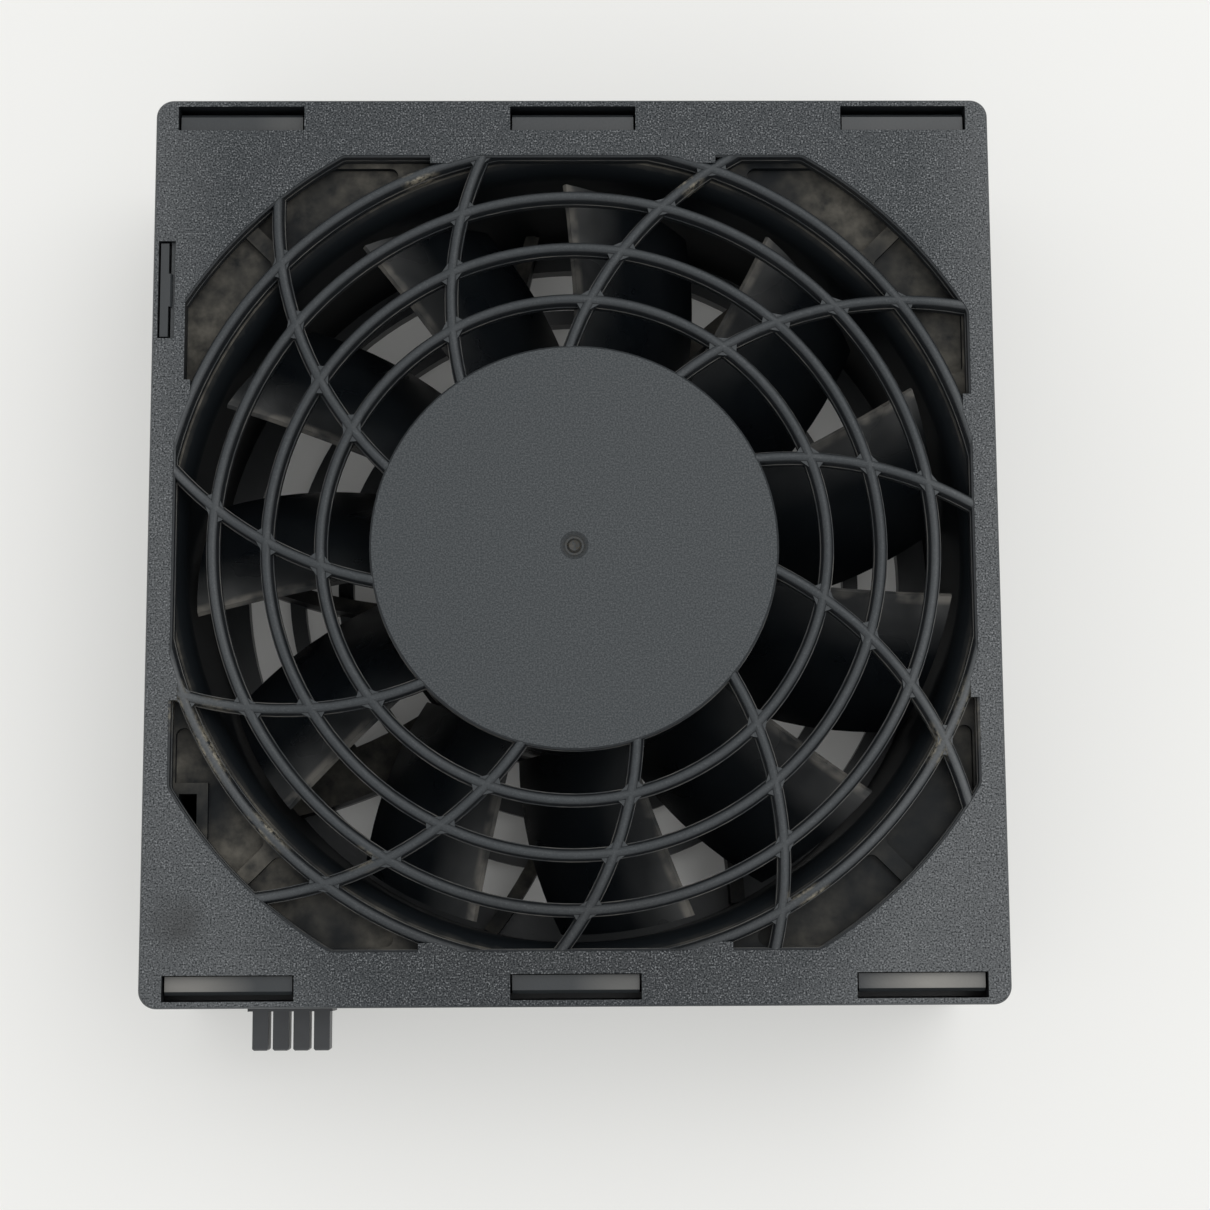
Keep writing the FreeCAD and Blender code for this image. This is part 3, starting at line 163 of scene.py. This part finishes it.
# ---- node helpers ----------------------------------------------------------------------------------
class Recipe:
    """A material under construction: its nodes, links and main shader."""

    def __init__(self, name, color, roughness, metallic=0.0, specular=0.5):
        self.material = bpy.data.materials.new(name)
        self.material.use_nodes = True
        self.nodes = self.material.node_tree.nodes
        self.links = self.material.node_tree.links
        self.shader = self.nodes["Principled BSDF"]
        self.shader.inputs["Base Color"].default_value = color
        self.shader.inputs["Roughness"].default_value = roughness
        self.shader.inputs["Metallic"].default_value = metallic
        self.shader.inputs["Specular IOR Level"].default_value = specular
        self.place = self.nodes.new("ShaderNodeTexCoord").outputs["Object"]

    def noise(self, size_mm, detail=2.0, rough=0.5, place=None):
        node = self.nodes.new("ShaderNodeTexNoise")
        node.inputs["Scale"].default_value = 1.0 / (size_mm * MM)
        node.inputs["Detail"].default_value = detail
        node.inputs["Roughness"].default_value = rough
        self.links.new(place or self.place, node.inputs["Vector"])
        return node.outputs["Fac"]

    def cell_edges(self, size_mm):
        """Distance from the edges between cells."""
        node = self.nodes.new("ShaderNodeTexVoronoi")
        node.feature = "DISTANCE_TO_EDGE"
        node.inputs["Scale"].default_value = 1.0 / (size_mm * MM)
        self.links.new(self.place, node.inputs["Vector"])
        return node.outputs["Distance"]

    def stretched(self, x, y, z):
        """Place scaled by an amount along each axis."""
        node = self.nodes.new("ShaderNodeMapping")
        node.inputs["Scale"].default_value = (x, y, z)
        self.links.new(self.place, node.inputs["Vector"])
        return node.outputs["Vector"]

    def span(self, value, low, high, start=0.0, end=1.0):
        """The value's range from low to high, spread from start to end and held outside it."""
        node = self.nodes.new("ShaderNodeMapRange")
        node.inputs["From Min"].default_value = low
        node.inputs["From Max"].default_value = high
        node.inputs["To Min"].default_value = start
        node.inputs["To Max"].default_value = end
        self.links.new(value, node.inputs["Value"])
        return node.outputs["Result"]

    def math(self, kind, first, second):
        node = self.nodes.new("ShaderNodeMath")
        node.operation = kind
        node.use_clamp = kind in ("MULTIPLY", "ADD")
        for socket, value in zip(node.inputs, (first, second)):
            if isinstance(value, (int, float)):
                socket.default_value = value
            else:
                self.links.new(value, socket)
        return node.outputs["Value"]

    def product(self, *values):
        result = values[0]
        for value in values[1:]:
            result = self.math("MULTIPLY", result, value)
        return result

    def rest(self, share):
        """What a share leaves of the whole."""
        return self.math("SUBTRACT", 1.0, share)

    def mix(self, share, first, second):
        node = self.nodes.new("ShaderNodeMix")
        node.data_type = "RGBA"
        self.links.new(share, node.inputs["Factor"])
        for socket, value in ((node.inputs[6], first), (node.inputs[7], second)):
            if isinstance(value, tuple):
                socket.default_value = value
            else:
                self.links.new(value, socket)
        return node.outputs[2]

    def color(self, value):
        self.links.new(value, self.shader.inputs["Base Color"])

    def roughness(self, value):
        self.links.new(value, self.shader.inputs["Roughness"])

    def specular(self, value):
        self.links.new(value, self.shader.inputs["Specular IOR Level"])

    def bump(self, height, depth_mm, strength):
        node = self.nodes.new("ShaderNodeBump")
        node.inputs["Strength"].default_value = strength
        node.inputs["Distance"].default_value = depth_mm * MM
        self.links.new(height, node.inputs["Height"])
        self.links.new(node.outputs["Normal"], self.shader.inputs["Normal"])

    def away(self, axis, level):
        """Distance from a level along an axis, to either side."""
        split = self.nodes.new("ShaderNodeSeparateXYZ")
        self.links.new(self.place, split.inputs["Vector"])
        off = self.math("SUBTRACT", split.outputs[axis], level)
        return self.math("ABSOLUTE", off, 0.0)

    def facing_up(self, low=0.7, high=0.95):
        """1 where the surface looks up to the front of the module, 0 on its walls."""
        geometry = self.nodes.new("ShaderNodeNewGeometry")
        split = self.nodes.new("ShaderNodeSeparateXYZ")
        self.links.new(geometry.outputs["Normal"], split.inputs["Vector"])
        return self.span(split.outputs["Z"], low, high)

    def spot(self, centre, size_mm, soft):
        """1 inside an oval patch round a place, falling to 0 at its edge."""
        node = self.nodes.new("ShaderNodeMapping")
        node.vector_type = "TEXTURE"
        node.inputs["Location"].default_value = centre
        node.inputs["Scale"].default_value = tuple(side * MM for side in size_mm)
        self.links.new(self.place, node.inputs["Vector"])
        length = self.nodes.new("ShaderNodeVectorMath")
        length.operation = "LENGTH"
        self.links.new(node.outputs["Vector"], length.inputs[0])
        return self.span(length.outputs["Value"], soft, 1.0, 1.0, 0.0)

    def patch(self, oval, depth_mm, soft):
        """A spot on the face, which reaches some depth below it."""
        x, y, half_width, half_height = oval
        centre = (x * MM, y * MM, FACE_HEIGHT)
        return self.spot(centre, (half_width, half_height, depth_mm), soft)


# ---- materials of the plastic case and the fan -------------------------------------------------------
def bezel_plastic():
    """Dark grey moulding: grain on the face with painted glints, smoother on the disc, painted shade on
    the walls.
    """
    r = Recipe("bezel_plastic", BEZEL_GREY, 0.45)
    disc = r.patch(DISC_PATCH, 50, soft=0.97)
    on_face = r.span(r.away("Z", FACE_HEIGHT), 0.04 * MM, 0.08 * MM, 1.0, 0.12)
    grained = r.product(on_face, r.rest(r.product(disc, 0.88)))
    fine = r.noise(GRAIN_SIZE, 1.0, 0.6)
    clumps = r.span(r.noise(1.9, 3.0, 0.6), 0.36, 0.62, 0.35, 1.0)
    # painted glints: bright specks on the grain's tips, gathered in clumps, on the face only
    painted_glints = r.product(r.span(fine, 0.55, 0.72), clumps, grained)
    pits = r.product(r.span(fine, 0.47, 0.33), grained)
    mottled = r.mix(r.span(fine, 0.38, 0.62), DISC_SHADE, DISC_GREY)
    tone = r.mix(disc, face_tone(r), mottled)
    tone = r.mix(r.product(pits, 0.75), tone, BEZEL_PIT)
    tone = r.mix(painted_glints, tone, BEZEL_PAINTED_GLINT)
    r.color(bezel_marks(r, tone))
    r.bump(r.product(fine, grained), GRAIN_DEPTH, 0.9)
    r.roughness(r.span(painted_glints, 0.0, 0.6, 0.5, 0.34))
    r.specular(r.span(pits, 0.0, 0.7, 0.5, 0.12))
    return r.material


def face_tone(r):
    """The bezel's own grey, with painted sheen towards the sides and the lower right corner, and darker
    below.
    """
    sides = r.rest(r.patch(SHEEN_FREE_PATCH, 500, soft=0.82))
    corner = r.patch(SHEEN_CORNER, 500, soft=0.2)
    # painted sheen: the sides and the lower right corner are mixed towards a lighter grey
    film_and_sheen = r.math("ADD", r.product(sides, 0.8), r.product(corner, 0.38))
    tone = r.mix(film_and_sheen, BEZEL_GREY, BEZEL_PAINTED_SHEEN)
    clouds = r.span(r.noise(24.0), 0.3, 0.75)
    tone = r.mix(r.product(clouds, 0.25), tone, DISC_GREY)
    # darker towards the bottom middle of the face
    darker_below = r.patch(DARKER_BELOW_PATCH, 500, soft=0.4)
    return r.mix(r.product(darker_below, 0.5), tone, BEZEL_PIT)


def bezel_marks(r, tone):
    """A smudge, painted shade on the walls, a broken painted highlight on the ledge at the parting
    plane, the gate and dust.
    """
    smudge = r.product(r.patch(SMUDGE_PATCH, 5.0, soft=0.2), r.span(r.noise(3.0), 0.25, 0.6, 0.5, 0.9))
    tone = r.mix(smudge, tone, SMUDGE_GREY)
    up = r.facing_up(0.55, 0.98)
    # painted shade: surfaces that face sideways are darkened, except the outer walls
    tone = r.mix(r.product(r.rest(up), inside_outline(r)), tone, WALL_PAINTED_SHADE)
    # painted highlight: a broken pale line where the ledge at the parting plane faces up
    ledge = r.span(r.away("Z", FACE_HEIGHT - PARTING_DEPTH), 0.03 * MM, 0.06 * MM, 1.0, 0.0)
    broken = r.span(r.noise(5.0, 3.0, 0.6), 0.38, 0.62)
    tone = r.mix(r.product(ledge, up, r.product(broken, 0.6)), tone, LEDGE_PAINTED_HIGHLIGHT)
    gate = r.product(r.patch(GATE_PATCH, 4.0, soft=0.4), r.span(r.noise(0.5, 2.0, 0.7), 0.35, 0.6))
    tone = r.mix(gate, tone, GATE_BROWN)
    return r.mix(bezel_dust(r), tone, DUST_PALE)


def inside_outline(r):
    """1 everywhere on the bezel but its outer walls."""
    low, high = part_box("front_bezel")
    within = 1.0
    for axis, start, end in (("X", low.x, high.x), ("Y", low.y, high.y)):
        reach = (end - start) / 2
        off = r.away(axis, (start + end) / 2)
        within = r.product(within, r.span(off, reach - 0.9 * MM, reach - 0.6 * MM, 1.0, 0.0))
    return within


def bezel_dust(r):
    """Pale dust on the walls of the openings, broken up, inside the patches."""
    where = 0.0
    for oval in DUST_PATCHES:
        where = r.math("ADD", where, r.patch(oval, 8.0, soft=0.2))
    walls = r.rest(r.facing_up(0.7, 0.97))
    broken = r.span(r.noise(1.0, 4.0, 0.7), 0.4, 0.6)
    return r.product(where, walls, r.product(broken, 0.75))


def housing_plastic():
    """Rear housing: the same dark plastic with a finer grain, and a painted reflection on some hooks.
    """
    r = Recipe("housing_plastic", HOUSING_GREY, 0.4)
    clouds = r.span(r.noise(18.0, 3.0), 0.35, 0.7)
    tone = r.mix(r.product(clouds, 0.3), HOUSING_GREY, DISC_GREY)
    film_and_sheen = 0.0
    for oval, amount in HOOK_PATCHES:
        film_and_sheen = r.math("ADD", film_and_sheen, r.product(r.patch(oval, 3.0, soft=0.3), amount))
    streaks = r.span(r.noise(3.0, place=r.stretched(0.25, 1.0, 1.0)), 0.3, 0.7, 0.7, 1.0)
    # painted reflection: pale streaks on the upward faces of some hooks
    r.color(r.mix(r.product(film_and_sheen, streaks, r.facing_up()), tone, HOOK_PAINTED_REFLECTION))
    r.bump(r.span(r.noise(0.4), 0.35, 0.7), 0.012, 0.6)
    r.roughness(r.span(clouds, 0.0, 1.0, 0.3, 0.42))
    return r.material


def frame_plastic():
    """Fan frame: smooth black, with patchy dust settled on every ledge, least at the lower right."""
    r = Recipe("frame_plastic", FRAME_BLACK, 0.5, specular=0.15)
    flecks = r.span(r.noise(2.6, 4.0, 0.55), 0.22, 0.68)
    clouds = r.span(r.noise(11.0, 3.0), 0.3, 0.6)
    clean = r.spot((45.0 * MM, -45.0 * MM, 0), (40, 40, 1000), soft=0.2)
    clouds = r.product(clouds, r.rest(r.product(clean, 0.75)))
    dust = r.product(r.facing_up(), flecks, clouds)
    r.color(r.mix(dust, FRAME_BLACK, DUST_BROWN))
    r.roughness(r.span(dust, 0.0, 0.6, 0.5, 0.85))
    r.bump(r.noise(0.3), 0.012, 0.6)
    return r.material


def impeller_plastic():
    """Blades: satin black; the front few millimetres are pale, partly wear and partly painted
    highlight, most of all at the tips, with a painted highlight along the leading edge.
    """
    r = Recipe("impeller_plastic", IMPELLER_BLACK, 0.3, specular=0.4)
    clouds = r.span(r.noise(11.0), 0.35, 0.75)
    specks = r.span(r.noise(0.5, 1.0), 0.7, 0.76)
    outer = r.rest(r.spot((0, 0, 0), (TIP_RADIUS, TIP_RADIUS, 1000), soft=0.55))
    depth = r.away("Z", LEADING_EDGE)
    front = r.span(depth, 0.8 * MM, 6.5 * MM, 1.0, 0.0)
    broken = r.span(r.noise(8.0), 0.3, 0.6, 0.35, 1.0)
    # wear and painted highlight: a pale band over the front few millimetres, strongest at the tips
    wear_and_highlight = r.product(front, r.math("ADD", outer, 0.12), broken)
    # painted highlight: a thin pale line along the leading edge, towards the tips
    edge = r.product(r.span(depth, 0.2 * MM, 0.7 * MM, 1.0, 0.0), r.span(r.noise(3.0), 0.35, 0.6))
    film_and_sheen = r.math("ADD", r.product(clouds, 0.12), r.product(specks, 0.3))
    tone = r.mix(film_and_sheen, IMPELLER_BLACK, FILM_GREY)
    tone = r.mix(wear_and_highlight, tone, WEAR_AND_HIGHLIGHT_GREY)
    r.color(r.mix(r.product(edge, outer), tone, EDGE_PAINTED_HIGHLIGHT))
    r.roughness(r.span(clouds, 0.0, 1.0, 0.26, 0.38))
    r.bump(r.noise(1.6), 0.008, 0.5)
    return r.material


# ---- materials of the motor and the plug -------------------------------------------------------------
def metal(name, color, roughness, streak_mm):
    """Bare metal with turning marks round the fan axis."""
    r = Recipe(name, color, roughness, metallic=1.0)
    marks = r.noise(streak_mm, 3.0, 0.6, r.stretched(0.15, 0.15, 1.0))
    dark = tuple(channel * 0.6 for channel in color[:3]) + (1,)
    r.color(r.mix(r.product(r.span(marks, 0.3, 0.7), 0.25), color, dark))
    r.roughness(r.span(marks, 0.3, 0.7, roughness * 0.85, roughness * 1.2))
    r.bump(marks, 0.004, 0.5)
    return r.material


def plastic(name, color, roughness, grain_mm, depth_mm):
    """Moulded plastic with slight clouding and a fine grain."""
    r = Recipe(name, color, roughness)
    clouds = r.span(r.noise(6.0), 0.3, 0.7)
    light = tuple(min(1.0, channel * 1.3 + 0.004) for channel in color[:3]) + (1,)
    r.color(r.mix(clouds, color, light))
    r.roughness(r.span(clouds, 0.0, 1.0, roughness * 0.9, roughness * 1.1))
    r.bump(r.noise(grain_mm), depth_mm, 0.6)
    return r.material


def laminations():
    """Stack of thin steel sheets: fine lines across the height."""
    r = Recipe("lamination_steel", LAMINATION_LIGHT, 0.42, metallic=0.9)
    lines = r.span(r.noise(0.5, 0.0, 0.5, r.stretched(0.001, 0.001, 1.0)), 0.45, 0.55)
    r.color(r.mix(lines, LAMINATION_DARK, LAMINATION_LIGHT))
    r.bump(lines, 0.03, 0.8)
    return r.material


def winding():
    """Enamelled wire laid side by side."""
    r = Recipe("copper_winding", COPPER_LIGHT, 0.28, metallic=0.85)
    lines = r.span(r.noise(0.45, 0.0, 0.5, r.stretched(1.0, 1.0, 0.12)), 0.4, 0.6)
    r.color(r.mix(lines, COPPER_DARK, COPPER_LIGHT))
    r.bump(lines, 0.06, 0.9)
    return r.material


def circuit_board():
    """Green solder mask over faint tracks."""
    r = Recipe("board", MASK_GREEN, 0.3)
    tracks = r.span(r.cell_edges(3.5), 0.03, 0.06)
    r.color(r.mix(tracks, TRACK_GREEN, MASK_GREEN))
    r.bump(tracks, 0.03, 0.5)
    return r.material


def make_materials():
    """Every finish that the record names, by its slot."""
    made = {
        "bezel_plastic": bezel_plastic(),
        "housing_plastic": housing_plastic(),
        "frame_plastic": frame_plastic(),
        "impeller_plastic": impeller_plastic(),
        "lamination_steel": laminations(),
        "copper_winding": winding(),
        "board": circuit_board(),
    }
    for slot, finish in METALS.items():
        made[slot] = metal(slot, *finish)
    for slot, finish in PLASTICS.items():
        made[slot] = plastic(slot, *finish)
    return made


# ---- nodes -------------------------------------------------------------------------------------------
def smooth_edges(node):
    """Weld the faces of a CAD piece and shade its round stretches smooth."""
    for polygon in node.data.polygons:
        polygon.use_smooth = True
    weld = node.modifiers.new("weld", "WELD")
    weld.merge_threshold = WELD_GAP
    split = node.modifiers.new("split", "EDGE_SPLIT")
    split.split_angle = math.radians(SHARP_EDGE)
    split.use_edge_sharp = False
    normals = node.modifiers.new("normals", "WEIGHTED_NORMAL")
    normals.weight = 100


def dress_nodes():
    """Give every CAD node the finish that the record names for it."""
    made = make_materials()
    for entry in frame["record"]["subparts"]:
        node = frame["nodes"][entry["node"]]
        node.data.materials.clear()
        node.data.materials.append(made[entry["material_slot"]])
        smooth_edges(node)


# ---- stage -------------------------------------------------------------------------------------------
def floor_material():
    """Pale matte table; part of what the camera sees of it is the bright room's own glow, cut back
    under the fan as a painted shadow.
    """
    r = Recipe("floor", TABLE_LIGHT, 0.9, specular=0.1)
    clouds = r.span(r.noise(160.0, 3.0), 0.2, 0.8)
    r.color(r.mix(clouds, TABLE_DARK, TABLE_LIGHT))
    path = r.nodes.new("ShaderNodeLightPath")
    seen = r.math("ADD", path.outputs["Is Camera Ray"], path.outputs["Is Glossy Ray"])
    seen = r.math("ADD", seen, path.outputs["Is Transmission Ray"])
    glow = r.nodes.new("ShaderNodeEmission")
    glow.inputs["Color"].default_value = TABLE_SHINE
    # painted shadow: less of the glow in a disc under the fan
    through = r.spot((0, 0, CAD_LOW.z), (PAINTED_SHADOW_RADIUS, PAINTED_SHADOW_RADIUS, PAINTED_SHADOW_RADIUS), soft=0.96)
    share = r.span(through, 0.0, 1.0, TABLE_GLOW, PAINTED_SHADOW_GLOW)
    both = r.nodes.new("ShaderNodeMixShader")
    r.links.new(r.product(seen, share), both.inputs["Fac"])
    r.links.new(r.shader.outputs["BSDF"], both.inputs[1])
    r.links.new(glow.outputs["Emission"], both.inputs[2])
    r.links.new(both.outputs["Shader"], r.nodes["Material Output"].inputs["Surface"])
    return r.material


def add_floor():
    low = CAD_LOW.z
    corners = [(x * TABLE_HALF, y * TABLE_HALF, low) for x, y in ((-1, -1), (1, -1), (1, 1), (-1, 1))]
    mesh = bpy.data.meshes.new("floor")
    mesh.from_pydata(corners, [], [(0, 1, 2, 3)])
    floor = bpy.data.objects.new("floor", mesh)
    bpy.context.scene.collection.objects.link(floor)
    mesh.materials.append(floor_material())


def add_world():
    world = bpy.data.worlds.new("studio")
    world.use_nodes = True
    backdrop = world.node_tree.nodes["Background"]
    backdrop.inputs["Color"].default_value = (1, 1, 1, 1)
    backdrop.inputs["Strength"].default_value = WORLD_LIGHT
    bpy.context.scene.world = world


def add_window():
    """A soft lamp high above the table, towards the module's top right, aimed at the module."""
    data = bpy.data.lights.new("window", "AREA")
    data.shape = "RECTANGLE"
    data.size, data.size_y = WINDOW_SIZE
    data.energy = WINDOW_POWER
    lamp = bpy.data.objects.new("window", data)
    lamp.location = WINDOW_PLACE
    lamp.rotation_euler = (Vector(WINDOW_PLACE) * -1).to_track_quat("-Z", "Y").to_euler()
    bpy.context.scene.collection.objects.link(lamp)


def add_camera():
    data = bpy.data.cameras.new("camera")
    data.lens = LENS
    data.sensor_width = SENSOR_WIDTH
    camera = bpy.data.objects.new("camera", data)
    camera.location = CAMERA_PLACE
    camera.rotation_euler = Euler([math.radians(turn) for turn in CAMERA_TURN])
    bpy.context.scene.collection.objects.link(camera)
    bpy.context.scene.camera = camera


# ---- scene -------------------------------------------------------------------------------------------
dress_nodes()
add_floor()
add_world()
add_window()
add_camera()
bpy.context.scene.view_settings.view_transform = "Standard"
